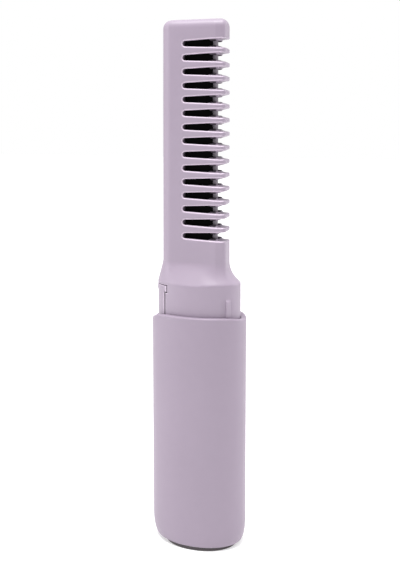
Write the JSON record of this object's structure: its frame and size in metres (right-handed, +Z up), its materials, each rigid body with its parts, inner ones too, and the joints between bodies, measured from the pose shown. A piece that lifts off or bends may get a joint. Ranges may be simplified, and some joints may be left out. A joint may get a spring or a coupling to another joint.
{
  "type": "hot comb",
  "caption": "Cordless hot comb: slotted flat head over recessed black heat plates, stepped collar with a sprung latch, oval battery handle with a press button and a charging inlet in its base.",
  "frame": {"origin": "centre of the base cap's underside, where the comb stands", "axes": "+Z up the handle to the head, +X towards the tips of the teeth, +Y towards the face with the power button"},
  "size_m": [0.0406, 0.0244, 0.2205],
  "materials": {
    "lilac_shell": "fine matte moulded plastic, lilac",
    "lilac_handle": "fine matte moulded plastic, lilac",
    "lilac_guard": "heat-resistant lilac plastic",
    "lilac_button": "satin plastic, a shade lighter than the shell",
    "base_plastic": "dark mauve matte plastic",
    "screw_steel": "zinc-plated steel",
    "socket_steel": "bright stamped steel",
    "black_plastic": "black moulded plastic",
    "board_green": "green solder mask",
    "chip_black": "black epoxy package",
    "coil_ferrite": "dark grey ferrite",
    "capacitor_tan": "tan ceramic body",
    "led_yellow": "pale phosphor",
    "clear_light": "frosted clear plastic",
    "cradle_plastic": "natural white moulded plastic",
    "cell_can": "nickel-plated can",
    "cell_wrap": "blue shrink film",
    "nickel": "nickel-plated steel",
    "foam": "black closed-cell foam",
    "battery_wire": "red silicone insulation",
    "charge_wire": "black silicone insulation",
    "seal_rubber": "dark silicone rubber",
    "heat_plate": "black anodised aluminium",
    "ceramic_chip": "fired grey-white ceramic",
    "electrode_brass": "thin brass strip",
    "film_amber": "amber polyimide film",
    "sensor_bead": "dark glass-coated bead",
    "fuse_body": "white glazed fuse body",
    "heater_wire": "cream glass-fibre braid",
    "sensor_wire": "blue thin insulation",
    "plunger_white": "white acetal"
  },
  "bodies": {
    "housing": {"handle_sleeve": "lilac_handle", "base_cap": "base_plastic", "base_screws": "screw_steel", "usb_shell": "socket_steel", "usb_tongue": "black_plastic", "charge_board": "board_green", "charge_parts": "chip_black", "charge_light": "clear_light", "battery_cradle": "cradle_plastic", "battery_cell": "cell_can", "battery_wrap": "cell_wrap", "battery_terminal": "nickel", "battery_tab_top": "nickel", "battery_tab_bottom": "nickel", "battery_pads": "foam", "battery_leads": "battery_wire", "charge_leads": "charge_wire", "comb_front_shell": "lilac_shell", "comb_back_shell": "lilac_shell", "shell_screws": "screw_steel", "main_board": "board_green", "board_screws": "screw_steel", "control_chip": "chip_black", "power_transistors": "chip_black", "boost_coil": "coil_ferrite", "capacitors": "capacitor_tan", "status_leds": "led_yellow", "light_pipe": "clear_light", "tact_switch": "black_plastic", "button_seal": "seal_rubber", "heat_plate_front": "heat_plate", "heat_plate_back": "heat_plate", "nose_guard": "lilac_guard", "heater_carrier": "black_plastic", "heating_chips": "ceramic_chip", "electrode_front": "electrode_brass", "electrode_back": "electrode_brass", "film_front": "film_amber", "film_back": "film_amber", "thermistor": "sensor_bead", "thermal_fuse": "fuse_body", "heater_leads": "heater_wire", "sensor_leads": "sensor_wire"},
    "power_button": {"power_button": "lilac_button", "switch_plunger": "plunger_white"},
    "cap_latch": {"cap_latch": "lilac_shell"}
  },
  "joints": [
    {"name": "button_press", "type": "slide", "parent": "housing", "child": "power_button", "axis": [0, -1, 0], "range_m": [0, 0.0006], "stiffness_N_per_m": 1500},
    {"name": "latch_flex", "type": "hinge", "parent": "housing", "child": "cap_latch", "pos_m": [-0.0171, 0, 0.0946], "axis": [0, 1, 0], "range_deg": [0, 3.2], "stiffness_Nm_per_rad": 1.5}
  ]
}
